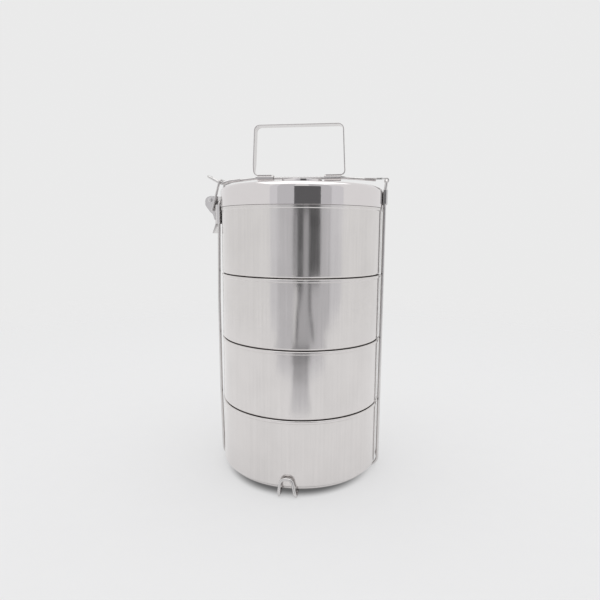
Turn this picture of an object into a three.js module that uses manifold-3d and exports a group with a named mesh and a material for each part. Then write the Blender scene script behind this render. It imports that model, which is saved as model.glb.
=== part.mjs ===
// A four-tier stainless steel tiffin carrier: four nested bowls and a lid, held in a wire frame by a
// hinged top bar with a folding handle and a toggle latch.
// Millimetres, +Z up, standing on z = 0. The stack's axis is x = y = 0, the top bar hinges at +X and
// latches at -X.
import * as THREE from "three";
import { mergeVertices } from "three/addons/utils/BufferGeometryUtils.js";
import Module from "manifold-3d";

const wasm = await Module();
wasm.setup();

// Driving dimensions
const GAP = 0.3; // clearance between pieces that touch
const TIERS = 4;
const BOWL_R = 70; // outer radius of a bowl's wall
const SHEET = 1; // wall of the bowls and the lid
const PITCH = 56.3; // height that each tier adds to the stack
const FOOT_R = 66; // nesting foot, which drops inside the rim below
const FOOT_H = 3.5;
const RECESS = 3; // how far the floor stands above the foot
const BEAD_H = 3; // rolled rim
const BEAD_OUT = 0.5;
const LID_R = 70.8;
const LID_BAND_TOP = 17.3; // heights over the lid's own foot
const LID_SHOULDER_R = 3.2;
const LID_CROWN = 2.1; // rise of the lid's top from its shoulder to its boss
const BOSS_R = 18;
const BOSS_H = 5.2;
const WIRE = 2.5; // frame wire
const FIRST_FOOT = WIRE + GAP; // height of the bottom bowl's foot
const PAIR_Y = 8; // each upright is a hairpin with its legs at y = +-8
const LOOP_X = 6.7; // foot loops' legs at the floor
const HINGE = new THREE.Vector3(73.2, 0, 254.8); // axis of the top bar
const BAR_Z = 257.7; // height of the bar's straight middle
const CLIP_SHEET = 0.8;
const PIVOT = new THREE.Vector3(-82.1, 0, 238.7); // lever's pivot
const BAIL_PIN = new THREE.Vector3(-79.7, 0, 229.8); // pin in the lever that pulls the bail
const BAIL_TOP = new THREE.Vector3(-72.2, 0, 256.1); // bail's cross bar, over the bar's hook
const BAIL_WIRE = 2;
const BAIL_Y = 8.2;
const EAR_IN = 4.1; // bracket's ears stand at |y| 4.1 to 5
const EAR_OUT = 5;
const CHEEK_IN = 5.3; // lever's cheeks stand outside them
const CHEEK_OUT = 6.2;
const STRIP_W = 10.5; // handle strip
const STRIP_T = 0.9;
const HANDLE_TOP = 302.7;
const GRIP_TUBE_R = 2.9; // handle's rolled ends, round the bar
const GRIP_BORE_R = 2;
const LATHE_STEPS = 48;

// Solids
function toSolid(geometry) {
  const bare = geometry.clone();
  bare.deleteAttribute("normal");
  bare.deleteAttribute("uv");
  const merged = mergeVertices(bare, 1e-4);
  return new wasm.Manifold(
    new wasm.Mesh({
      numProp: 3,
      vertProperties: new Float32Array(merged.attributes.position.array),
      triVerts: new Uint32Array(merged.index.array),
    }),
  );
}

function toGeometry(solid) {
  const mesh = solid.getMesh();
  const geometry = new THREE.BufferGeometry();
  geometry.setAttribute("position", new THREE.BufferAttribute(mesh.vertProperties, 3));
  geometry.setIndex(new THREE.BufferAttribute(mesh.triVerts, 1));
  geometry.computeVertexNormals();
  return geometry;
}

const join = (first, ...rest) =>
  toGeometry(rest.reduce((solid, g) => solid.add(toSolid(g)), toSolid(first)));

const cut = (first, ...tools) =>
  toGeometry(tools.reduce((solid, g) => solid.subtract(toSolid(g)), toSolid(first)));

const common = (a, b) => toGeometry(toSolid(a).intersect(toSolid(b)));

// Points along an arc in a plane, angles in degrees
function arc(cx, cy, radius, from, to, steps) {
  return Array.from({ length: steps + 1 }, (_, i) => {
    const a = THREE.MathUtils.degToRad(from + ((to - from) * i) / steps);
    return new THREE.Vector2(cx + radius * Math.cos(a), cy + radius * Math.sin(a));
  });
}

const p2 = (x, y) => new THREE.Vector2(x, y);
const p3 = (x, y, z) => new THREE.Vector3(x, y, z);

// A profile of (radius, height) turned about Z
function turned(profile, z) {
  const geometry = new THREE.LatheGeometry(profile, LATHE_STEPS);
  geometry.rotateX(Math.PI / 2);
  geometry.translate(0, 0, z);
  return geometry;
}

// A route that is followed point by point, so that a straight stretch is one step
class Route extends THREE.Curve {
  constructor(points) {
    super();
    this.points = points;
  }

  getUtoTmapping(u) {
    return u;
  }

  getPoint(t, target = new THREE.Vector3()) {
    const place = t * (this.points.length - 1);
    const i = Math.min(Math.floor(place + 1e-6), this.points.length - 2);
    return target.lerpVectors(this.points[i], this.points[i + 1], place - i);
  }

  getTangent(t, target = new THREE.Vector3()) {
    const last = this.points.length - 1;
    const i = Math.round(t * last);
    const before = this.points[Math.max(i - 1, 0)];
    const here = this.points[i];
    const after = this.points[Math.min(i + 1, last)];
    const inward = here.clone().sub(before).normalize();
    return target.copy(after).sub(here).normalize().add(inward).normalize();
  }
}

// Straight stretches through the corners, each {at, bend} turned with its bend radius
function bent(corners, steps = 4) {
  const points = [corners[0].at];
  for (let i = 1; i < corners.length - 1; i++) {
    const { at, bend } = corners[i];
    const a = at.clone().sub(corners[i - 1].at).normalize();
    const b = corners[i + 1].at.clone().sub(at).normalize();
    const turn = a.angleTo(b);
    const side = b.clone().addScaledVector(a, -a.dot(b)).normalize();
    const start = at.clone().addScaledVector(a, -bend * Math.tan(turn / 2));
    const count = Math.max(1, Math.round((steps * turn) / (Math.PI / 2)));
    for (let k = 0; k <= count; k++) {
      const angle = (turn * k) / count;
      points.push(
        start
          .clone()
          .addScaledVector(a, bend * Math.sin(angle))
          .addScaledVector(side, bend * (1 - Math.cos(angle))),
      );
    }
  }
  points.push(corners.at(-1).at);
  return points;
}

const corner = (x, y, z, bend = 0) => ({ at: p3(x, y, z), bend });

function swept(shape, points) {
  return new THREE.ExtrudeGeometry(shape, {
    steps: points.length - 1,
    extrudePath: new Route(points),
  });
}

// Round wire as an eight-sided section whose flats touch the round
function wire(diameter, corners) {
  const radius = diameter / 2 / Math.cos(Math.PI / 8);
  const section = new THREE.Shape(arc(0, 0, radius, 22.5, 337.5, 7));
  return swept(section, bent(corners));
}

// A flat outline in the XZ plane, given depth from y0 to y1
function plateXZ(outline, y0, y1, holes = []) {
  const shape = new THREE.Shape(outline);
  shape.holes = holes.map((points) => new THREE.Path(points));
  const geometry = new THREE.ExtrudeGeometry(shape, { depth: y1 - y0, bevelEnabled: false });
  geometry.rotateX(Math.PI / 2);
  geometry.translate(0, y1, 0);
  return geometry;
}

function block(x0, x1, y0, y1, z0, z1) {
  const geometry = new THREE.BoxGeometry(x1 - x0, y1 - y0, z1 - z0);
  geometry.translate((x0 + x1) / 2, (y0 + y1) / 2, (z0 + z1) / 2);
  return geometry;
}

// A round pin along Y through a centre
function pinY(centre, radius, halfLength) {
  const geometry = new THREE.CylinderGeometry(radius, radius, 2 * halfLength, 12);
  geometry.translate(centre.x, 0, centre.z);
  return geometry;
}

const ring = (centre, radius) => arc(centre.x, centre.z, radius, 0, 337.5, 15);

// Bowls and lid
function bowlProfile() {
  const rim = FOOT_H + PITCH - GAP;
  const inner = BOWL_R - SHEET;
  return [
    p2(0, RECESS),
    p2(57.5, RECESS),
    p2(60.5, 0),
    ...arc(FOOT_R - 1.2, 1.2, 1.2, -90, 0, 2),
    p2(FOOT_R, FOOT_H),
    ...arc(BOWL_R - 1.2, FOOT_H + 1.2, 1.2, -90, 0, 2),
    p2(BOWL_R, rim - BEAD_H),
    p2(BOWL_R + BEAD_OUT, rim - BEAD_H + 0.7),
    p2(BOWL_R + BEAD_OUT, rim - 0.7),
    p2(BOWL_R, rim),
    p2(inner, rim),
    ...arc(inner - 2.8, FOOT_H + SHEET + 2.8, 2.8, 0, -90, 3),
    p2(FOOT_R - SHEET, FOOT_H + SHEET),
    p2(FOOT_R - SHEET, SHEET),
    p2(60.9, SHEET),
    p2(57.9, RECESS + SHEET),
    p2(0, RECESS + SHEET),
  ];
}

function lidProfile() {
  const shoulder = LID_BAND_TOP + LID_SHOULDER_R;
  const crown = shoulder + LID_CROWN;
  const inner = LID_R - SHEET;
  const centre = LID_R - LID_SHOULDER_R;
  return [
    p2(0, crown + BOSS_H - SHEET),
    p2(BOSS_R - 1.2, crown + BOSS_H - SHEET),
    p2(BOSS_R + 0.2, crown - SHEET),
    p2(centre * 0.65, shoulder + 0.7 * LID_CROWN - SHEET),
    ...arc(centre, LID_BAND_TOP, LID_SHOULDER_R - SHEET, 90, 0, 3),
    p2(inner, FOOT_H + SHEET),
    p2(FOOT_R - SHEET, FOOT_H + SHEET),
    p2(FOOT_R - SHEET, 0),
    p2(FOOT_R, 0),
    p2(FOOT_R, FOOT_H),
    ...arc(LID_R - 1, FOOT_H + 1, 1, -90, 0, 2),
    ...arc(centre, LID_BAND_TOP, LID_SHOULDER_R, 0, 90, 3),
    p2(centre * 0.65, shoulder + 0.7 * LID_CROWN),
    p2(BOSS_R + 1.6, crown),
    p2(BOSS_R, crown + BOSS_H - 0.4),
    p2(BOSS_R - 0.4, crown + BOSS_H),
    p2(0, crown + BOSS_H),
  ];
}

// Frame
function uprightHinge() {
  const leg = (y) => [
    corner(71.9, y, WIRE / 2, 8),
    corner(72, y, 244, 60),
    corner(HINGE.x, y, HINGE.z, 3),
  ];
  return wire(WIRE, [
    corner(GAP / 2, PAIR_Y, WIRE / 2),
    ...leg(PAIR_Y),
    ...leg(-PAIR_Y).reverse(),
    corner(GAP / 2, -PAIR_Y, WIRE / 2),
  ]);
}

function uprightLatch() {
  const leg = (y) => [
    corner(-71.6, y, WIRE / 2, 8),
    corner(-73.4, y, 66, 300),
    corner(-74.3, y, 150, 300),
    corner(-73.2, y, 237.3, 3),
  ];
  return wire(WIRE, [
    corner(-GAP / 2, PAIR_Y, WIRE / 2),
    ...leg(PAIR_Y),
    ...leg(-PAIR_Y).reverse(),
    corner(-GAP / 2, -PAIR_Y, WIRE / 2),
  ]);
}

// Floor wires that rise over the uprights' pair at the crossing and end in a loop up the bottom bowl
function footLoop(way) {
  const over = 1.5 * WIRE + GAP + 0.1;
  const side = (s) => [
    corner(s * LOOP_X, (way * GAP) / 2, over),
    corner(s * LOOP_X, way * 11, over, 6),
    corner(s * LOOP_X, way * 18, WIRE / 2, 6),
    corner(s * LOOP_X, way * 76.2, WIRE / 2, 3),
    corner(s * 4.8, way * 72.7, 14.5, 3),
  ];
  return wire(WIRE, [...side(1), ...side(-1).reverse()]);
}

// A folded plate outside a pair of upright legs, with edges turned in along them
function pairClip(face, back, z0, z1) {
  const wrap = PAIR_Y + WIRE / 2 + 0.4;
  const [x0, x1] = [Math.min(face, back), Math.max(face, back)];
  const inside = face > 0 ? [x0 - 1, x1 - CLIP_SHEET] : [x0 + CLIP_SHEET, x1 + 1];
  return cut(
    block(x0, x1, -wrap - CLIP_SHEET, wrap + CLIP_SHEET, z0, z1),
    block(inside[0], inside[1], -wrap, wrap, z0 - 1, z1 + 1),
  );
}

const hingeClip = () => pairClip(74.4, 70.6, 234.6, 246.6);

const BRACKET_FACE = -76.4;

// The latch's clip, with a tongue that carries two ears for the lever's pivot
function latchBracket() {
  const inner = BRACKET_FACE + CLIP_SHEET;
  const clip = pairClip(BRACKET_FACE, -72.3, 217.6, 234.1);
  const tongue = block(BRACKET_FACE, inner, -EAR_OUT, EAR_OUT, 234, 242);
  const outline = [
    p2(inner, 234.6),
    ...arc(PIVOT.x, PIVOT.z, 3.2, 250, 100, 6),
    p2(inner, 242),
  ];
  const hole = [ring(PIVOT, 1.6)];
  const ears = [-1, 1].map((s) => {
    const [a, b] = s > 0 ? [EAR_IN, EAR_OUT] : [-EAR_OUT, -EAR_IN];
    return plateXZ(outline, a, b, hole);
  });
  return join(clip, tongue, ...ears);
}

function pivotRivet() {
  const head = CHEEK_OUT + GAP;
  const heads = [-1, 1].map((s) => {
    const cap = new THREE.CylinderGeometry(1.9, 1.9, 0.5, 12);
    cap.translate(PIVOT.x, s * (head + 0.25), PIVOT.z);
    return cap;
  });
  return join(pinY(PIVOT, 1.25, head + 0.2), ...heads);
}

// Lever
function latchLever() {
  const sheet = 0.9;
  const face = BRACKET_FACE - GAP;
  const cheek = [
    p2(face, 221),
    p2(face, 234.5),
    ...arc(-81.5, 236.2, 5.3, 50, 205, 7),
    p2(-84, 231.2),
    p2(-82, 228),
    p2(-80, 226.4),
    p2(face - 1.6, 221),
  ];
  const holes = [ring(PIVOT, 1.6), ring(BAIL_PIN, 1.5)];
  const web = [
    p2(face, 228.2),
    p2(face, 217.4),
    p2(-79.6, 209),
    p2(-80.4, 209.4),
    p2(face - sheet, 217.8),
    p2(face - sheet, 228.2),
  ];
  const cheeks = [-1, 1].map((s) => {
    const [a, b] = s > 0 ? [CHEEK_IN, CHEEK_OUT] : [-CHEEK_OUT, -CHEEK_IN];
    return plateXZ(cheek, a, b, holes);
  });
  return join(plateXZ(web, -CHEEK_OUT, CHEEK_OUT), ...cheeks);
}

const leverPin = () => pinY(BAIL_PIN, 1.15, CHEEK_OUT + 0.6);

// The bail hangs from the bar's hook; its ends lie beside the lever's pin
function latchBail() {
  const side = (s) => [
    corner(BAIL_PIN.x, s * BAIL_Y, BAIL_PIN.z - 1),
    corner(BAIL_TOP.x, s * BAIL_Y, BAIL_TOP.z, 2.5),
  ];
  return wire(BAIL_WIRE, [...side(1), ...side(-1).reverse()]);
}

// Top bar
const topRod = () =>
  wire(WIRE, [
    corner(64.4, 0, 255.6),
    corner(36, 0, BAR_Z, 40),
    corner(-42, 0, BAR_Z, 40),
    corner(-64.5, 0, 255.3),
  ]);

function hookLoop() {
  const side = (s) => [
    corner(-55, s * 2.9, 256.5),
    corner(-64, s * 3.4, 255.5, 6),
    corner(-72.4, s * 5, 253, 4),
    corner(-84.6, s * 4.8, 259.6, 3),
  ];
  return wire(2.2, [...side(1), ...side(-1).reverse()]);
}

// Two knuckles curled round the uprights' top run, joined by a web that the rod butts against
function hingeFork() {
  const outer = 2.1;
  const bore = 1.6;
  const sheet = outer - bore;
  const top = HINGE.z + outer;
  const outline = [
    p2(54.5, top - sheet),
    ...arc(HINGE.x, HINGE.z, outer, 162.5, 450, 14),
    p2(54.5, top),
  ];
  const knuckles = plateXZ(outline, -4.8, 4.8, [ring(HINGE, bore)]);
  const rodSlot = block(53.5, 64.8, -1.65, 1.65, top - 3, top + 1);
  const middle = block(69.4, 76.4, -1.5, 1.5, HINGE.z - 4, top + 1);
  return cut(knuckles, rodSlot, middle);
}

// Handle
function carryHandle() {
  const tab = BAR_Z + GRIP_TUBE_R - STRIP_T / 2;
  const top = HANDLE_TOP - STRIP_T / 2;
  const path = bent([
    corner(-25.2, 0, tab),
    corner(-43.1, 0, tab, 3.8),
    corner(-41.2, 0, top, 4.5),
    corner(35.5, 0, top, 4.5),
    corner(37.6, 0, tab, 3.8),
    corner(19.6, 0, tab),
  ]);
  const half = [STRIP_T / 2, STRIP_W / 2];
  const section = new THREE.Shape([
    p2(-half[0], -half[1]),
    p2(half[0], -half[1]),
    p2(half[0], half[1]),
    p2(-half[0], half[1]),
  ]);
  const strip = swept(section, path);
  const narrow = 2.6;
  const wide = half[1] + 1;
  const [low, full] = [BAR_Z + 3.9, BAR_Z + 12.4];
  const window = new THREE.Shape([
    p2(-wide, HANDLE_TOP + 1),
    p2(-wide, full),
    p2(-narrow, low),
    p2(-narrow, BAR_Z - 5),
    p2(narrow, BAR_Z - 5),
    p2(narrow, low),
    p2(wide, full),
    p2(wide, HANDLE_TOP + 1),
  ]);
  const taper = new THREE.ExtrudeGeometry(window, { depth: 120, bevelEnabled: false });
  taper.rotateX(Math.PI / 2);
  taper.rotateZ(Math.PI / 2);
  taper.translate(-60, 0, 0);
  const tubes = [
    [-39.6, -25.2],
    [19.6, 34.2],
  ].map(([x0, x1]) => tubeX(x0, x1));
  const bores = tubes.map((t) => t.bore);
  return cut(join(common(strip, taper), ...tubes.map((t) => t.wall)), ...bores);
}

// A tube along X round the bar: its wall and its bore
function tubeX(x0, x1) {
  const make = (radius, extra) => {
    const geometry = new THREE.CylinderGeometry(radius, radius, x1 - x0 + 2 * extra, 14);
    geometry.rotateZ(Math.PI / 2);
    geometry.translate((x0 + x1) / 2, 0, BAR_Z);
    return geometry;
  };
  return { wall: make(GRIP_TUBE_R, 0), bore: make(GRIP_BORE_R, 6) };
}

// Assembly
const group = new THREE.Group();

function add(name, geometry, color, roughness) {
  const material = new THREE.MeshStandardMaterial({ color, roughness, metalness: 1 });
  const mesh = new THREE.Mesh(geometry, material);
  mesh.name = name;
  group.add(mesh);
}

for (let tier = 0; tier < TIERS; tier++)
  add(`bowl_${tier + 1}`, turned(bowlProfile(), FIRST_FOOT + tier * PITCH), 0xcbc9c7, 0.25);
add("lid", turned(lidProfile(), FIRST_FOOT + TIERS * PITCH), 0xd3d1d0, 0.12);
add("upright_hinge", uprightHinge(), 0xb9b8b6, 0.3);
add("upright_latch", uprightLatch(), 0xb9b8b6, 0.3);
add("foot_loop_front", footLoop(-1), 0xb9b8b6, 0.3);
add("foot_loop_back", footLoop(1), 0xb9b8b6, 0.3);
add("hinge_clip", hingeClip(), 0xc2c0be, 0.3);
add("latch_bracket", latchBracket(), 0xc2c0be, 0.3);
add("latch_pivot_rivet", pivotRivet(), 0xa9a8a7, 0.35);
add("latch_lever", latchLever(), 0xc2c0be, 0.3);
add("lever_pin", leverPin(), 0xa9a8a7, 0.35);
add("latch_bail", latchBail(), 0xb9b8b6, 0.3);
add("top_rod", topRod(), 0xb9b8b6, 0.3);
add("hook_loop", hookLoop(), 0xb9b8b6, 0.3);
add("hinge_fork", hingeFork(), 0xc2c0be, 0.3);
add("carry_handle", carryHandle(), 0xc9c8c6, 0.28);

export default group;
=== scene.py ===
import math

import bpy
from mathutils import Matrix, Vector


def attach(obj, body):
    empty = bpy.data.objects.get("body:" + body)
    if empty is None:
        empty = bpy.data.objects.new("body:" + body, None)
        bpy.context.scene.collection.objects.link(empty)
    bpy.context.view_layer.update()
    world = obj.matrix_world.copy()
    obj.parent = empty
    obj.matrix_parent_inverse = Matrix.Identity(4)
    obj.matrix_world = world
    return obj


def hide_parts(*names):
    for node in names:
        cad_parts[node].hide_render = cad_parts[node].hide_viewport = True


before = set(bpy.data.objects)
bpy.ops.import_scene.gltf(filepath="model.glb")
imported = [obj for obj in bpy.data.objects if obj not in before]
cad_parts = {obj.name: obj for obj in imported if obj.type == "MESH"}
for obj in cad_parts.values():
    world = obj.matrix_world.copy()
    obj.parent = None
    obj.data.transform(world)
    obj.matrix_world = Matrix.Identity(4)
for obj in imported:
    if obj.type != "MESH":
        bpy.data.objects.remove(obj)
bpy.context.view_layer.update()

# Lengths are millimetres until a piece or a stage object is made; TO_M turns them to metres.
TO_M = 0.001

# Stack
TIERS = 4
PITCH = 56.3
FIRST_FOOT = 2.8
BOWL_R = 70.0
SHEET = 1.0
FOOT_R = 66.0
FOOT_H = 3.5
RECESS = 3.0
RECESS_R = 57.5
RECESS_EDGE_R = 60.5
RIM = 59.5
BEAD_PROUD = 0.5
LID_R = 70.8
LID_TOP = 20.5
LID_SHOULDER_BEND = 5.0
LID_CROWN = 2.1
LID_CROWN_R = 43.94
BOSS_R = 18.0
BOSS_H = 5.2

# Frame, bar and latch
WIRE = 2.5
PAIR_Y = 8.0
HINGE = Vector((73.2, 0, 254.8))
BAR_Z = 257.7
PIVOT = Vector((-82.1, 0, 238.7))
BAIL_PIN = Vector((-79.7, 0, 229.8))
BAIL_TOP = Vector((-72.2, 0, 256.1))
BRACKET_FACE = -76.4
CLIP_SHEET = 0.8
BAIL_Y = 8.2
HANDLE_TOP = 302.7
STRIP_T = 0.9
STRIP_W = 10.5
STRIP_END_W = 5.2
TUBE_R = 2.9
BORE_R = 2.0

# Camera, and the direction that the studio faces
CAMERA_AZIMUTH = 8.2
CAMERA_DISTANCE = 439.2
CAMERA_HEIGHT = 209.9
CAMERA_PITCH = 7.81
CAMERA_YAW = -0.138
CAMERA_ROLL = 0.424
LENS = 29.3
BACKGROUND = 0.825
KIT_Y = -600.0


# ---------------------------------------------------------------- shapes
# A shape is (vertices, faces). Several shapes make one piece.


def corner(x, y, z, bend=0.0):
    return Vector((x, y, z)), bend


def fillet(before, at, after, bend, step):
    """Points of an arc of radius bend that rounds the corner at `at`."""
    a = (at - before).normalized()
    b = (after - at).normalized()
    turn = a.angle(b)
    if bend <= 0 or turn < 1e-4:
        return [at]
    side = (b - a * a.dot(b)).normalized()
    start = at - a * bend * math.tan(turn / 2)
    count = max(2, round(math.degrees(turn) / step))
    points = []
    for k in range(count + 1):
        angle = turn * k / count
        forward, inward = math.sin(angle), 1 - math.cos(angle)
        points.append(start + a * bend * forward + side * bend * inward)
    return points


def bent(corners, closed=False, step=7.5):
    """Straight stretches through the corners, rounded at each by its bend radius."""
    points = []
    count = len(corners)
    for i, (at, bend) in enumerate(corners):
        if not closed and i in (0, count - 1):
            points.append(at.copy())
        else:
            before = corners[i - 1][0]
            after = corners[(i + 1) % count][0]
            points += fillet(before, at, after, bend, step)
    return points


def spaced(points, longest, closed=False):
    """The same route with no step longer than `longest`."""
    result = []
    last = len(points) if closed else len(points) - 1
    for i in range(last):
        a, b = points[i], points[(i + 1) % len(points)]
        parts = max(1, math.ceil((b - a).length / longest))
        result += [a.lerp(b, k / parts) for k in range(parts)]
    if not closed:
        result.append(points[-1].copy())
    return result


def tangents(points, closed):
    """The unit direction of the route at each point."""
    result = []
    count = len(points)
    for i in range(count):
        before = points[i - 1] if closed or i else points[i]
        after = points[(i + 1) % count] if closed or i < count - 1 else points[i]
        result.append((after - before).normalized())
    return result


def skin(rings, closed_route=False, caps=True):
    """Faces over a row of equal rings of points."""
    sides = len(rings[0])
    verts = [p for ring in rings for p in ring]
    faces = []
    last = len(rings) if closed_route else len(rings) - 1
    for i in range(last):
        a, b = i * sides, ((i + 1) % len(rings)) * sides
        for k in range(sides):
            n = (k + 1) % sides
            faces.append((a + k, a + n, b + n, b + k))
    if caps and not closed_route:
        faces.append(tuple(reversed(range(sides))))
        faces.append(tuple(range(len(verts) - sides, len(verts))))
    return verts, faces


def carried_frames(points, closed):
    """A (side, other) pair at each point, carried along the route without twist."""
    along = tangents(points, closed)
    side = along[0].orthogonal().normalized()
    sides = []
    for t in along:
        side = (side - t * t.dot(side)).normalized()
        sides.append(side)
    if closed:
        t = along[0]
        end = (side - t * t.dot(side)).normalized()
        twist = math.atan2(sides[0].cross(end).dot(t), sides[0].dot(end))
        sides = [
            Matrix.Rotation(-twist * i / len(points), 3, along[i]) @ s
            for i, s in enumerate(sides)
        ]
    return [(s, along[i].cross(s)) for i, s in enumerate(sides)]


def tube(points, radius, closed=False, sides=20):
    """Round wire along a route, with domed ends if it is open."""
    frames = carried_frames(points, closed)
    crown = 0.45 * radius

    def ring(at, pair, r):
        return [
            at + (pair[0] * math.cos(a) + pair[1] * math.sin(a)) * r
            for a in (math.tau * k / sides for k in range(sides))
        ]

    def dome(at, pair, outward):
        angles = [math.radians(d) for d in (20, 45, 65, 82)]
        return [
            ring(at + outward * crown * (math.cos(a) - 1), pair, radius * math.sin(a))
            for a in angles
        ]

    rings = [ring(at, pair, radius) for at, pair in zip(points, frames)]
    if not closed:
        first = (points[0] - points[1]).normalized()
        last = (points[-1] - points[-2]).normalized()
        rings[0] = ring(points[0] - first * crown, frames[0], radius)
        rings[-1] = ring(points[-1] - last * crown, frames[-1], radius)
        rings = dome(points[0], frames[0], first) + rings + dome(points[-1], frames[-1], last)[::-1]
    return skin(rings, closed)


def rounded_section(width, thickness, edge, steps=3):
    """(across, through) points of a rectangle with rounded edges."""
    points = []
    for sx, sy, start in ((1, 1, 0), (-1, 1, 90), (-1, -1, 180), (1, -1, 270)):
        cx, cy = sx * (width / 2 - edge), sy * (thickness / 2 - edge)
        for k in range(steps + 1):
            a = math.radians(start + 90 * k / steps)
            points.append((cx + edge * math.cos(a), cy + edge * math.sin(a)))
    return points


def strip(points, across, width, thickness, edge=0.2, centre=0.0):
    """Sheet bent along a route; width is a number or a function of the route's point."""
    across = Vector(across)
    along = tangents(points, False)
    nick = edge * 0.6

    def ring(at, t, shrink):
        wide = width(at) if callable(width) else width
        through = t.cross(across).normalized()
        section = rounded_section(wide - 2 * shrink, thickness - 2 * shrink, edge - shrink * 0.5)
        return [at + across * (u + centre) + through * v for u, v in section]

    rings = [ring(at, t, 0.0) for at, t in zip(points, along)]
    rings[0] = ring(points[0] + along[0] * nick, along[0], 0.0)
    rings[-1] = ring(points[-1] - along[-1] * nick, along[-1], 0.0)
    rings.insert(0, ring(points[0], along[0], nick))
    rings.append(ring(points[-1], along[-1], nick))
    return skin(rings)


def turned(section, segments=256, closed=True):
    """A section of (radius, height) turned about Z. Points on the axis become single vertices."""
    verts, faces, rows = [], [], []
    for r, z in section:
        if r < 1e-6:
            rows.append([len(verts)] * segments)
            verts.append(Vector((0, 0, z)))
        else:
            rows.append(list(range(len(verts), len(verts) + segments)))
            for k in range(segments):
                a = math.tau * k / segments
                verts.append(Vector((r * math.cos(a), r * math.sin(a), z)))
    pairs = list(zip(rows, rows[1:]))
    if closed and section[0][0] > 1e-6:
        pairs.append((rows[-1], rows[0]))
    for low, high in pairs:
        for k in range(segments):
            n = (k + 1) % segments
            face = []
            for v in (low[k], low[n], high[n], high[k]):
                if v not in face:
                    face.append(v)
            if len(face) > 2:
                faces.append(tuple(face))
    return verts, faces


def profile(*corners, step=7.5):
    """(radius, height, rounding) corners as a list of (radius, height)."""
    route = bent([corner(r, 0, z, bend) for r, z, bend in corners], step=step)
    return [(p.x, p.z) for p in spaced(route, 7.0)]


def moved(shape, matrix):
    verts, faces = shape
    return [matrix @ v for v in verts], faces


def lifted(shape, z):
    return moved(shape, Matrix.Translation((0, 0, z)))


def along_y(shape, centre, way=1):
    """A shape turned about Z, laid along Y (or -Y) at a centre."""
    turn = Matrix.Rotation(-way * math.pi / 2, 4, "X")
    return moved(shape, Matrix.Translation(centre) @ turn)


def plate(blank, y0, y1, holes=(), bevel=0.12):
    """A flat blank in the XZ plane from y0 to y1, with softened edges and round holes."""
    curve = bpy.data.curves.new("blank", "CURVE")
    curve.dimensions = "2D"
    curve.fill_mode = "BOTH"
    curve.bevel_depth = bevel
    curve.bevel_resolution = 2
    curve.offset = -bevel
    curve.extrude = (y1 - y0) / 2 - bevel
    loops = [blank] + [circle(at, radius) for at, radius in holes]
    for points in loops:
        spline = curve.splines.new("POLY")
        spline.points.add(len(points) - 1)
        spline.use_cyclic_u = True
        for p, (x, z) in zip(spline.points, points):
            p.co = (x, z, 0, 1)
    holder = bpy.data.objects.new("blank", curve)
    bpy.context.scene.collection.objects.link(holder)
    bpy.context.view_layer.update()
    mesh = bpy.data.meshes.new_from_object(holder)
    verts = [Vector((v.co.x, (y0 + y1) / 2 - v.co.z, v.co.y)) for v in mesh.vertices]
    faces = [tuple(f.vertices) for f in mesh.polygons]
    bpy.data.objects.remove(holder)
    bpy.data.curves.remove(curve)
    bpy.data.meshes.remove(mesh)
    return verts, faces


def circle(at, radius, sides=32):
    """(x, z) points of a round hole."""
    steps = (math.tau * k / sides for k in range(sides))
    return [(at.x + radius * math.cos(a), at.z + radius * math.sin(a)) for a in steps]


def outline(*corners):
    """A closed (x, z) outline from (x, z, rounding) corners."""
    return [(p.x, p.z) for p in bent([corner(x, 0, z, b) for x, z, b in corners], closed=True)]


def piece(name, shapes, material, body, nodes, crease=40.0):
    """One visible mesh in metres, on its body, in place of its CAD nodes."""
    verts, faces = [], []
    for part_verts, part_faces in shapes:
        offset = len(verts)
        verts += [v * TO_M for v in part_verts]
        faces += [tuple(i + offset for i in face) for face in part_faces]
    mesh = bpy.data.meshes.new(name)
    mesh.from_pydata(verts, [], faces)
    mesh.validate()
    mesh.shade_smooth()
    mesh.set_sharp_from_angle(angle=math.radians(crease))
    mesh.materials.append(material)
    obj = bpy.data.objects.new(name, mesh)
    bpy.context.scene.collection.objects.link(obj)
    weighted = obj.modifiers.new("even_shading", "WEIGHTED_NORMAL")
    weighted.keep_sharp = True
    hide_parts(*nodes)
    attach(obj, body)
    return obj


# ---------------------------------------------------------------- materials


def node(tree, kind, inputs=None, **settings):
    made = tree.nodes.new(kind)
    for key, value in settings.items():
        setattr(made, key, value)
    for key, value in (inputs or {}).items():
        if isinstance(value, bpy.types.NodeSocket):
            tree.links.new(value, made.inputs[key])
        else:
            made.inputs[key].default_value = value
    return made


def noise(tree, scale, size=1.0, detail=3.0, roughness=0.55):
    """Noise over the object's own coordinates, stretched by a scale on each axis."""
    place = tree.nodes.get("place") or node(tree, "ShaderNodeTexCoord", name="place")
    mapped = node(
        tree, "ShaderNodeMapping", {"Vector": place.outputs["Object"], "Scale": scale}
    )
    made = node(
        tree,
        "ShaderNodeTexNoise",
        {"Vector": mapped.outputs[0], "Scale": size, "Detail": detail, "Roughness": roughness},
    )
    return made.outputs[0]


def spread(tree, value, low, high, start=0.3, end=0.7):
    """A noise value between start and end, spread over low to high."""
    made = node(
        tree,
        "ShaderNodeMapRange",
        {"Value": value, "From Min": start, "From Max": end, "To Min": low, "To Max": high},
    )
    return made.outputs[0]


def times(tree, a, b):
    return node(tree, "ShaderNodeMath", {0: a, 1: b}, operation="MULTIPLY").outputs[0]


def plus(tree, a, b):
    return node(tree, "ShaderNodeMath", {0: a, 1: b}, operation="ADD").outputs[0]


def bump(tree, height, distance, onto=None):
    inputs = {"Height": height, "Distance": distance, "Strength": 1.0}
    if onto:
        inputs["Normal"] = onto
    return node(tree, "ShaderNodeBump", inputs).outputs[0]


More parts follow.
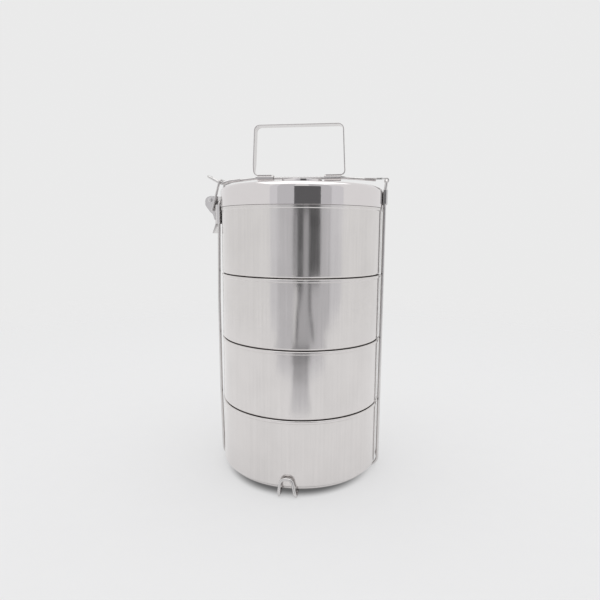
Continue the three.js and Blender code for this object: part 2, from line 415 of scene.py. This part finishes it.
def tinted(tree, amount, dark, light):
    made = node(tree, "ShaderNodeMix", data_type="RGBA")
    tree.links.new(amount, made.inputs["Factor"])
    made.inputs["A"].default_value = (*dark, 1)
    made.inputs["B"].default_value = (*light, 1)
    return made.outputs["Result"]


def steel(name, colour, streak, roughness, streak_depth, wave, wave_depth, mottle=0.05):
    """Stainless steel.

    streak: noise scale on each axis, small along the brushing; wave: the same for the slow
    unevenness of the sheet. The depths are in metres. roughness is (least, most).
    """
    material = bpy.data.materials.new(name)
    material.use_nodes = True
    tree = material.node_tree
    tree.nodes.clear()
    lines = noise(tree, streak, detail=4.0, roughness=0.7)
    smear = noise(tree, (28, 28, 22), detail=5.0, roughness=0.6)
    fine = noise(tree, (900, 900, 700), detail=2.0)
    slow = noise(tree, wave, detail=1.0, roughness=0.4)
    dark = [c * (1 - mottle) for c in colour]
    wear = plus(tree, times(tree, lines, 0.45), times(tree, smear, 0.55))
    base = tinted(tree, spread(tree, wear, 0.0, 1.0, 0.35, 0.62), dark, colour)
    least, most = roughness
    rough = plus(
        tree,
        spread(tree, lines, least, (least + most) / 2),
        spread(tree, smear, 0.0, (most - least) / 2, 0.4, 0.65),
    )
    normal = bump(tree, slow, wave_depth)
    normal = bump(tree, lines, streak_depth, normal)
    normal = bump(tree, fine, streak_depth * 0.3, normal)
    shader = node(
        tree,
        "ShaderNodeBsdfPrincipled",
        {"Base Color": base, "Metallic": 1.0, "Roughness": rough, "Normal": normal},
    )
    out = node(tree, "ShaderNodeOutputMaterial")
    tree.links.new(shader.outputs[0], out.inputs["Surface"])
    return material


def bowl_steel():
    return steel(
        "bowl_steel",
        colour=(0.71, 0.685, 0.675),
        streak=(620, 620, 9),
        roughness=(0.10, 0.2),
        streak_depth=2.4e-6,
        wave=(70, 70, 16),
        wave_depth=3.0e-5,
        mottle=0.09,
    )


def lid_steel():
    return steel(
        "lid_steel",
        colour=(0.73, 0.70, 0.70),
        streak=(900, 900, 900),
        roughness=(0.03, 0.09),
        streak_depth=2.0e-7,
        wave=(40, 40, 30),
        wave_depth=1.2e-5,
        mottle=0.03,
    )


def wire_steel():
    return steel(
        "wire_steel",
        colour=(0.66, 0.645, 0.64),
        streak=(420, 420, 420),
        roughness=(0.14, 0.3),
        streak_depth=6.0e-6,
        wave=(60, 60, 60),
        wave_depth=3.0e-5,
        mottle=0.12,
    )


def clip_steel():
    return steel(
        "clip_steel",
        colour=(0.70, 0.685, 0.68),
        streak=(700, 160, 160),
        roughness=(0.14, 0.28),
        streak_depth=3.0e-6,
        wave=(150, 150, 150),
        wave_depth=5.0e-5,
        mottle=0.12,
    )


def handle_steel():
    return steel(
        "handle_steel",
        colour=(0.63, 0.61, 0.605),
        streak=(60, 1600, 60),
        roughness=(0.10, 0.22),
        streak_depth=1.5e-6,
        wave=(60, 60, 60),
        wave_depth=6.0e-5,
        mottle=0.08,
    )


# ---------------------------------------------------------------- bowls and lid


def bowl_shape(bead_bend):
    """One bowl from its own z = 0. bead_bend rounds the top of the bead round its rim."""
    inner = BOWL_R - SHEET
    bead = BOWL_R + BEAD_PROUD
    return turned(
        profile(
            (0, RECESS, 0),
            (RECESS_R, RECESS, 1.6),
            (RECESS_EDGE_R, 0, 1.6),
            (FOOT_R, 0, 1.2),
            (FOOT_R, FOOT_H, 0.5),
            (BOWL_R, FOOT_H, 1.9),
            (BOWL_R, RIM - 2.7, 0.25),
            (bead, RIM - 2.2, 0.5),
            (bead, RIM, bead_bend),
            (inner, RIM, 0.2),
            (inner, FOOT_H + SHEET, 2.8),
            (FOOT_R - SHEET, FOOT_H + SHEET, 0.5),
            (FOOT_R - SHEET, SHEET, 0.6),
            (RECESS_EDGE_R + 0.4, SHEET, 0.8),
            (RECESS_R + 0.4, RECESS + SHEET, 0.8),
            (0, RECESS + SHEET, 0),
        )
    )


def make_bowls(material):
    for tier in range(TIERS):
        name = f"bowl_{tier + 1}"
        under_lid = tier == TIERS - 1
        shape = bowl_shape(bead_bend=0.35 if under_lid else 0.9)
        shape = lifted(shape, FIRST_FOOT + tier * PITCH)
        piece(f"{name}_shell", [shape], material, name, [name])


def make_lid(material):
    """The lid. Its band ends just clear of the top bowl's rim, and its crown bends at mid_r."""
    crown = LID_TOP + LID_CROWN
    mid_r = LID_CROWN_R
    mid_z = LID_TOP + 0.7 * LID_CROWN
    seat = FOOT_H - 0.18
    shape = turned(
        profile(
            (0, crown + BOSS_H - SHEET, 0),
            (BOSS_R - 1.2, crown + BOSS_H - SHEET, 0.6),
            (BOSS_R + 0.2, crown - SHEET, 1.0),
            (mid_r, mid_z - SHEET, 60),
            (LID_R - SHEET, LID_TOP - SHEET, LID_SHOULDER_BEND - SHEET),
            (LID_R - SHEET, FOOT_H + SHEET, 0.3),
            (FOOT_R - SHEET, FOOT_H + SHEET, 0.3),
            (FOOT_R - SHEET, 0, 0.3),
            (FOOT_R, 0, 0.3),
            (FOOT_R, seat, 0.5),
            (LID_R, seat, 0.15),
            (LID_R, LID_TOP, LID_SHOULDER_BEND),
            (mid_r, mid_z, 60),
            (BOSS_R + 0.1, crown, 1.0),
            (BOSS_R, crown + BOSS_H, 0.4),
            (0, crown + BOSS_H, 0),
        )
    )
    shape = lifted(shape, FIRST_FOOT + TIERS * PITCH)
    piece("lid_shell", [shape], material, "lid", ["lid"])


# ---------------------------------------------------------------- wire frame


def weld(at, size=(2.0, 2.0, 1.1)):
    """The small flattened bead that joins two crossed wires."""
    dome = [(math.cos(math.radians(d)), math.sin(math.radians(d))) for d in range(-90, 91, 15)]
    ball = turned([(max(0.0, r), z) for r, z in dome], 24, closed=False)
    return moved(ball, Matrix.Translation(at) @ Matrix.Diagonal((*size, 1)))


def make_uprights(material):
    """One closed loop of wire: up one side, over, down, and back under the bowls."""

    def hinge_leg(y):
        return [
            corner(71.9, y, WIRE / 2, 8),
            corner(72, y, 244, 60),
            corner(HINGE.x, y, HINGE.z, 3),
        ]

    def latch_leg(y):
        return [
            corner(-71.6, y, WIRE / 2, 8),
            corner(-73.4, y, 66, 300),
            corner(-74.3, y, 150, 300),
            corner(-73.2, y, 237.3, 3),
        ]

    loop = (
        hinge_leg(PAIR_Y)
        + hinge_leg(-PAIR_Y)[::-1]
        + latch_leg(-PAIR_Y)
        + latch_leg(PAIR_Y)[::-1]
    )
    route = spaced(bent(loop, closed=True), 6.0, closed=True)
    shapes = [tube(route, WIRE / 2, closed=True)]
    piece(
        "frame_uprights",
        shapes,
        material,
        "base_frame",
        ["upright_hinge", "upright_latch"],
    )


def make_foot_loops(material):
    """One closed loop that crosses over the uprights' wires and turns up at front and back."""
    over = 1.5 * WIRE + 0.4
    lean = 0.7

    def side(s, way):
        return [
            corner(s * 6.7, way * 11, over, 6),
            corner(s * 6.7, way * 18, WIRE / 2, 6),
            corner(s * 6.9 - way * lean, way * 76.2, WIRE / 2, 3),
            corner(s * 4.8 + way * lean, way * 72.7, 14.5, 4.3),
        ]

    loop = side(1, -1) + side(-1, -1)[::-1] + side(-1, 1) + side(1, 1)[::-1]
    route = spaced(bent(loop, closed=True), 6.0, closed=True)
    welds = [weld(Vector((sx * 6.7, sy * PAIR_Y, 2.7))) for sx in (-1, 1) for sy in (-1, 1)]
    piece(
        "frame_foot_loops",
        [tube(route, WIRE / 2, closed=True)] + welds,
        material,
        "base_frame",
        ["foot_loop_front", "foot_loop_back"],
    )


def folded_clip(face, back, z0, z1):
    """A plate across a pair of legs, its edges folded in along them."""
    wrap = PAIR_Y + WIRE / 2 + 0.4 + CLIP_SHEET / 2
    inward = 1 if face < back else -1
    mid = face + inward * CLIP_SHEET / 2
    z = (z0 + z1) / 2
    route = bent(
        [
            corner(back, -wrap, z),
            corner(mid, -wrap, z, 1.4),
            corner(mid, wrap, z, 1.4),
            corner(back, wrap, z),
        ]
    )
    return strip(spaced(route, 3.0), (0, 0, 1), z1 - z0, CLIP_SHEET)


def make_hinge_clip(material):
    shape = folded_clip(74.4, 70.6, 234.6, 246.6)
    piece("hinge_side_clip", [shape], material, "base_frame", ["hinge_clip"])


def make_bracket(material):
    """The latch's clip, with a tongue and two ears for the lever's pivot."""
    inner = BRACKET_FACE + CLIP_SHEET
    tongue = strip(
        spaced([Vector((inner - 0.4, 0, 233)), Vector((inner - 0.4, 0, 242))], 2.0),
        (0, 1, 0),
        10.0,
        CLIP_SHEET,
    )
    blank = outline(
        (inner, 234.6, 0.4),
        (-84.0, 235.2, 2.4),
        (-86.0, 239.4, 2.6),
        (-82.6, 242.4, 2.6),
        (inner, 242, 0.4),
    )
    ears = [plate(blank, *sorted((s * 4.1, s * 5.0)), holes=[(PIVOT, 1.6)]) for s in (-1, 1)]
    shapes = [folded_clip(BRACKET_FACE, -72.3, 217.6, 234.1), tongue] + ears
    piece("latch_clip_bracket", shapes, material, "base_frame", ["latch_bracket"])


def rivet_head(radius, height):
    """A low dome on a short edge, standing on its own z = 0."""
    edge = 0.15
    rise = height - edge
    arc = [math.radians(d) for d in range(0, 90, 10)]
    dome = [(radius * math.cos(a), edge + rise * math.sin(a)) for a in arc]
    return [(0.0, 0.0), (radius, 0.0)] + dome + [(0.0, height)]


def pin(centre, radius, reach, head_radius, head_height):
    """A pin along Y with a domed head at each end."""
    shank = turned([(0, -reach), (radius, -reach), (radius, reach), (0, reach)], 40, closed=False)
    shapes = [along_y(shank, centre)]
    for way in (-1, 1):
        head = turned(rivet_head(head_radius, head_height), 40, closed=False)
        shapes.append(along_y(head, centre + Vector((0, way * reach, 0)), way))
    return shapes


def make_rivet(material):
    shapes = pin(PIVOT, 1.25, 6.5, 1.9, 0.5)
    piece("pivot_rivet", shapes, material, "base_frame", ["latch_pivot_rivet"])


# ---------------------------------------------------------------- latch


def make_lever(material):
    """Two cheeks with a web between them, which goes on down as the lever's arm."""
    face = BRACKET_FACE - 0.3
    mid = face - 0.45
    blank = outline(
        (face, 221.0, 0.3),
        (face, 235.0, 1.0),
        (-77.0, 241.5, 3.4),
        (-82.0, 242.0, 4.2),
        (-86.75, 241.0, 4.4),
        (-86.75, 234.0, 3.6),
        (-82.4, 228.0, 2.0),
        (-79.9, 226.2, 2.4),
        (face - 1.6, 221.0, 0.4),
    )
    holes = [(PIVOT, 1.6), (BAIL_PIN, 1.5)]
    cheeks = [plate(blank, *sorted((s * 5.3, s * 6.2)), holes=holes) for s in (-1, 1)]
    web = bent([corner(mid, 0, 228.2), corner(mid, 0, 217.6, 2.4), corner(-80.0, 0, 209.2)])
    shapes = cheeks + [strip(spaced(web, 2.0), (0, 1, 0), 12.4, 0.9)]
    piece("lever_plate", shapes, material, "lever", ["latch_lever"])
    shapes = pin(BAIL_PIN, 1.15, 6.45, 1.6, 0.35)
    piece("lever_bail_pin", shapes, material, "lever", ["lever_pin"])


def make_bail(material):
    """A loop of wire over the hook, open at its foot, where its ends lie beside the lever's pin."""

    def side(s):
        return [
            corner(BAIL_PIN.x, s * BAIL_Y, BAIL_PIN.z - 1),
            corner(BAIL_TOP.x, s * BAIL_Y, BAIL_TOP.z, 2.5),
        ]

    route = spaced(bent(side(1) + side(-1)[::-1]), 4.0)
    piece("bail_wire", [tube(route, 1.0)], material, "bail", ["latch_bail"])


# ---------------------------------------------------------------- top bar


def make_rod(material):
    route = bent(
        [
            corner(64.4, 0, 255.6),
            corner(36, 0, BAR_Z, 40),
            corner(-42, 0, BAR_Z, 40),
            corner(-64.5, 0, 255.3),
        ],
        step=1.0,
    )
    shape = tube(spaced(route, 5.0), WIRE / 2)
    piece("bar_rod", [shape], material, "top_bar", ["top_rod"])


def make_hook(material):
    """A loop of thinner wire, welded on both sides of the rod's end and turned up past the bail."""

    def side(s):
        return [
            corner(-55, s * 2.9, 256.5),
            corner(-64, s * 3.4, 255.5, 6),
            corner(-72.4, s * 5, 253, 4),
            corner(-84.6, s * 4.8, 259.6, 3),
        ]

    route = spaced(bent(side(1) + side(-1)[::-1]), 3.0)
    piece("bar_hook", [tube(route, 1.1)], material, "top_bar", ["hook_loop"])


def make_fork(material):
    """Two prongs beside the rod, joined by a web and curled round the uprights' top run."""
    sheet = 0.5
    mid_r = 2.07 - sheet / 2
    curl = [
        Vector((HINGE.x + mid_r * math.cos(a), 0, HINGE.z + mid_r * math.sin(a)))
        for a in (math.radians(90 - d) for d in range(0, 286, 9))
    ]
    flat = HINGE.z + mid_r
    route = [Vector((54.5, 0, flat)), Vector((62, 0, flat)), Vector((69, 0, flat))] + curl
    prongs = [strip(route, (0, 1, 0), 3.15, sheet, centre=s * 3.225) for s in (-1, 1)]
    web = strip([Vector((64.8, 0, flat)), Vector((69.4, 0, flat))], (0, 1, 0), 9.6, sheet)
    piece("bar_hinge_fork", prongs + [web], material, "top_bar", ["hinge_fork"])


def curled_tube(x0, x1):
    """The strip's end rolled round the bar, with its seam underneath."""
    mid_r = (TUBE_R + BORE_R) / 2
    seam = 12
    route = [
        Vector(((x0 + x1) / 2, mid_r * math.sin(a), BAR_Z + mid_r * math.cos(a)))
        for a in (math.radians(-180 + seam + k * (360 - 2 * seam) / 48) for k in range(49))
    ]
    return strip(route, (1, 0, 0), x1 - x0, TUBE_R - BORE_R, 0.15)


def make_handle(material):
    """A bent strip, wide in the hand and narrow where it meets the tubes rolled round the bar."""
    tab = BAR_Z + TUBE_R - STRIP_T / 2
    top = HANDLE_TOP - 0.01 - STRIP_T / 2
    route = bent(
        [
            corner(-27, 0, tab),
            corner(-43.1, 0, tab, 3.8),
            corner(-41.2, 0, top, 4.5),
            corner(35.5, 0, top, 4.5),
            corner(37.6, 0, tab, 3.8),
            corner(21, 0, tab),
        ]
    )
    low, full = BAR_Z + 3.9, BAR_Z + 12.4

    def width(at):
        share = min(1.0, max(0.0, (at.z - low) / (full - low)))
        eased = share * share * (3 - 2 * share)
        return STRIP_END_W + (STRIP_W - STRIP_END_W) * eased

    band = strip(spaced(route, 2.0), (0, 1, 0), width, STRIP_T, 0.3)
    shapes = [band, curled_tube(-39.6, -25.2), curled_tube(19.6, 34.2)]
    piece("handle_strip", shapes, material, "handle", ["carry_handle"])


# ---------------------------------------------------------------- studio


def aligned(x, y, z):
    """A point in metres from millimetres in the studio's frame, which faces the camera."""
    return Matrix.Rotation(math.radians(CAMERA_AZIMUTH), 3, "Z") @ Vector((x, y, z)) * TO_M


def studio_object(name, points, material):
    mesh = bpy.data.meshes.new(name)
    mesh.from_pydata([aligned(*p) for p in points], [], [tuple(range(len(points)))])
    mesh.materials.append(material)
    obj = bpy.data.objects.new(name, mesh)
    bpy.context.scene.collection.objects.link(obj)
    return obj


def glow(name, level):
    material = bpy.data.materials.new(name)
    material.use_nodes = True
    tree = material.node_tree
    tree.nodes.clear()
    shader = node(tree, "ShaderNodeEmission", {"Color": (level, level, level * 1.03, 1)})
    out = node(tree, "ShaderNodeOutputMaterial")
    tree.links.new(shader.outputs[0], out.inputs["Surface"])
    return material


def only_reflected(obj):
    obj.visible_camera = False
    obj.visible_diffuse = False
    obj.visible_shadow = False
    obj.visible_transmission = False


def upright_card(name, corners, level, y=KIT_Y):
    """Something behind the camera, seen only in the steel. corners are (x, z)."""
    card = studio_object(name, [(x, y, z) for x, z in corners], glow(name, level))
    only_reflected(card)


def rectangle(x0, x1, z0, z1):
    return [(x0, z0), (x1, z0), (x1, z1), (x0, z1)]


def floor_shade(name, half, y0, y1, level, z):
    """A patch of floor behind the camera that is darkened, seen only in the steel."""
    corners = [(-half, y0, z), (half, y0, z), (half, y1, z), (-half, y1, z)]
    only_reflected(studio_object(name, corners, glow(name, level)))


def make_reflected_kit():
    """The dark things behind the camera: a block, three bars under it, two legs, grey between."""
    behind = KIT_Y - 6
    upright_card("kit_block", rectangle(-102, 262, 252, 440), 0.135)
    upright_card("kit_bar_left", rectangle(-112, -92, 120, 252), 0.13)
    upright_card("kit_bar_middle", rectangle(-56, 24, 105, 252), 0.11)
    upright_card("kit_bar_right", rectangle(98, 268, 120, 252), 0.10)
    left = [(-6, 116), (30, 116), (-32, 61), (-45, 0), (-81, 0), (-68, 61)]
    right = [(95, 118), (132, 118), (135, 61), (208, 0), (170, 0), (98, 61)]
    under = [(-50, 110), (127, 110), (180, -5), (-60, -5)]
    upright_card("kit_leg_left", left, 0.20)
    upright_card("kit_leg_right", right, 0.20)
    upright_card("kit_between", rectangle(-102, 258, 110, 252), 0.47, behind)
    upright_card("kit_under", under, 0.52, behind)


def make_reflected_room():
    """The greyer sides of the room behind the camera, and its shaded floor."""
    upright_card("room_left", rectangle(-371, -102, -5, 900), 0.64, KIT_Y - 12)
    upright_card("room_right", rectangle(100, 480, -5, 900), 0.62, KIT_Y - 13)
    upright_card("room_far_left", rectangle(-550, -371, -5, 900), 0.78, KIT_Y - 18)
    upright_card("room_far_right", rectangle(480, 900, -5, 900), 0.77, KIT_Y - 18)
    floor_shade("floor_dark", 105, -560, -455, 0.20, 5)
    floor_shade("floor_dim", 68, -455, -350, 0.46, 4)
    floor_shade("floor_faint", 58, -350, -240, 0.68, 3)
    floor_shade("floor_wide", 330, -600, -450, 0.66, 2)
    floor_shade("floor_wide_faint", 250, -450, -375, 0.80, 1)


def length(tree, vector):
    made = node(tree, "ShaderNodeVectorMath", {0: vector}, operation="LENGTH")
    return made.outputs["Value"]


def smooth_step(tree, value, start, end, low=0.0, high=1.0):
    """value, eased from low at start to high at end."""
    made = node(
        tree,
        "ShaderNodeMapRange",
        {"Value": value, "From Min": start, "From Max": end, "To Min": low, "To Max": high},
        interpolation_type="SMOOTHSTEP",
    )
    return made.outputs[0]


def mixed(tree, share, shader, other):
    """Shader `other` by the given share, and `shader` for the rest."""
    made = node(tree, "ShaderNodeMixShader", {0: share, 1: shader, 2: other})
    return made.outputs[0]


def floor_surface(tree):
    """Matte paper that is half lit from below, so that it meets the flat background."""
    grain = noise(tree, (60, 60, 60), detail=4.0)
    colour = tinted(tree, spread(tree, grain, 0, 1), (0.405, 0.405, 0.41), (0.41, 0.41, 0.415))
    paper = node(
        tree, "ShaderNodeBsdfDiffuse", {"Color": colour, "Normal": bump(tree, grain, 2e-5)}
    )
    path = node(tree, "ShaderNodeLightPath")
    level = node(
        tree,
        "ShaderNodeMix",
        {"Factor": path.outputs["Is Glossy Ray"], "A": BACKGROUND * 0.5, "B": 0.52},
    )
    lit_from_below = node(tree, "ShaderNodeEmission", {"Strength": level.outputs[0]})
    made = node(tree, "ShaderNodeAddShader", {0: paper.outputs[0], 1: lit_from_below.outputs[0]})
    return made.outputs[0]


def make_floor():
    """The floor: a painted shadow darkens it right round the object's foot, and it is gone into the
    background far away.
    """
    material = bpy.data.materials.new("floor")
    material.use_nodes = True
    tree = material.node_tree
    tree.nodes.clear()
    place = node(tree, "ShaderNodeTexCoord", name="place").outputs["Object"]
    # Painted shadow: round the object's foot, in a ring narrowed from side to side, the floor gives
    # way to a dark matte sheet; the share value is 1 where the floor is clear of it.
    narrowed = node(tree, "ShaderNodeVectorMath", {0: place, 1: (1.13, 1, 1)}, operation="MULTIPLY")
    clear_of_painted_shadow = smooth_step(tree, length(tree, narrowed.outputs[0]), 0.0625, 0.0755, low=0.26)
    far = smooth_step(tree, length(tree, place), 0.35, 1.3)
    shadow = node(tree, "ShaderNodeBsdfDiffuse", {"Color": (0.03, 0.03, 0.035, 1)}).outputs[0]
    clear = node(tree, "ShaderNodeBsdfTransparent").outputs[0]
    table = mixed(tree, clear_of_painted_shadow, shadow, floor_surface(tree))
    out = node(tree, "ShaderNodeOutputMaterial")
    tree.links.new(mixed(tree, far, table, clear), out.inputs["Surface"])
    half = 1500
    corners = [(-half, -half, 0), (half, -half, 0), (half, half, 0), (-half, half, 0)]
    studio_object("floor", corners, material)


def make_world():
    """Flat behind the object; for light and reflections, even with a softer patch at the camera."""
    world = bpy.data.worlds.new("studio")
    bpy.context.scene.world = world
    world.use_nodes = True
    tree = world.node_tree
    tree.nodes.clear()
    path = node(tree, "ShaderNodeLightPath")
    place = node(tree, "ShaderNodeTexCoord")
    front = aligned(0, -1000, 0)
    facing = node(
        tree,
        "ShaderNodeVectorMath",
        {0: place.outputs["Generated"], 1: front},
        operation="DOT_PRODUCT",
    )
    reflected = smooth_step(tree, facing.outputs["Value"], 0.70, 0.97, 0.90, 0.84)
    lit = node(
        tree,
        "ShaderNodeMix",
        {"Factor": path.outputs["Is Diffuse Ray"], "A": reflected, "B": 0.86},
    )
    shown = node(
        tree,
        "ShaderNodeMix",
        {"Factor": path.outputs["Is Camera Ray"], "A": lit.outputs[0], "B": BACKGROUND},
    )
    back = node(tree, "ShaderNodeBackground", {"Color": shown.outputs[0]})
    out = node(tree, "ShaderNodeOutputWorld")
    tree.links.new(back.outputs[0], out.inputs["Surface"])


def make_light():
    """One wide soft light overhead."""
    data = bpy.data.lights.new("overhead", "AREA")
    data.shape = "RECTANGLE"
    data.size = 1.6
    data.size_y = 1.3
    data.energy = 5.6
    light = bpy.data.objects.new("overhead", data)
    light.location = aligned(0, -100, 1500)
    bpy.context.scene.collection.objects.link(light)


def make_camera():
    pitch, yaw, roll = (math.radians(a) for a in (CAMERA_PITCH, CAMERA_YAW, CAMERA_ROLL))
    forward = Vector(
        (math.sin(yaw) * math.cos(pitch), math.cos(yaw) * math.cos(pitch), -math.sin(pitch))
    )
    level = Vector((math.cos(yaw), -math.sin(yaw), 0))
    upright = level.cross(forward)
    right = level * math.cos(roll) + upright * math.sin(roll)
    up = upright * math.cos(roll) - level * math.sin(roll)
    turn = Matrix.Rotation(math.radians(CAMERA_AZIMUTH), 3, "Z")
    matrix = (turn @ Matrix((right, up, -forward)).transposed()).to_4x4()
    matrix.translation = aligned(0, -CAMERA_DISTANCE, CAMERA_HEIGHT)
    data = bpy.data.cameras.new("camera")
    data.lens = LENS
    data.sensor_width = 36.0
    data.clip_start = 0.01
    camera = bpy.data.objects.new("camera", data)
    camera.matrix_world = matrix
    bpy.context.scene.collection.objects.link(camera)
    bpy.context.scene.camera = camera


def set_colours():
    """Colours come out as they are, with no film look."""
    view = bpy.context.scene.view_settings
    view.view_transform = "Standard"
    view.look = "None"
    view.exposure = 0.0
    view.gamma = 1.0


def make_carrier():
    """Every visible piece, in the metals they share."""
    bowl, lid, wire, clip, handle = (
        bowl_steel(),
        lid_steel(),
        wire_steel(),
        clip_steel(),
        handle_steel(),
    )
    make_bowls(bowl)
    make_lid(lid)
    make_uprights(wire)
    make_foot_loops(wire)
    make_hinge_clip(clip)
    make_bracket(clip)
    make_rivet(clip)
    make_lever(clip)
    make_bail(wire)
    make_rod(wire)
    make_hook(wire)
    make_fork(clip)
    make_handle(handle)


make_carrier()
make_floor()
make_reflected_kit()
make_reflected_room()
make_world()
make_light()
make_camera()
set_colours()
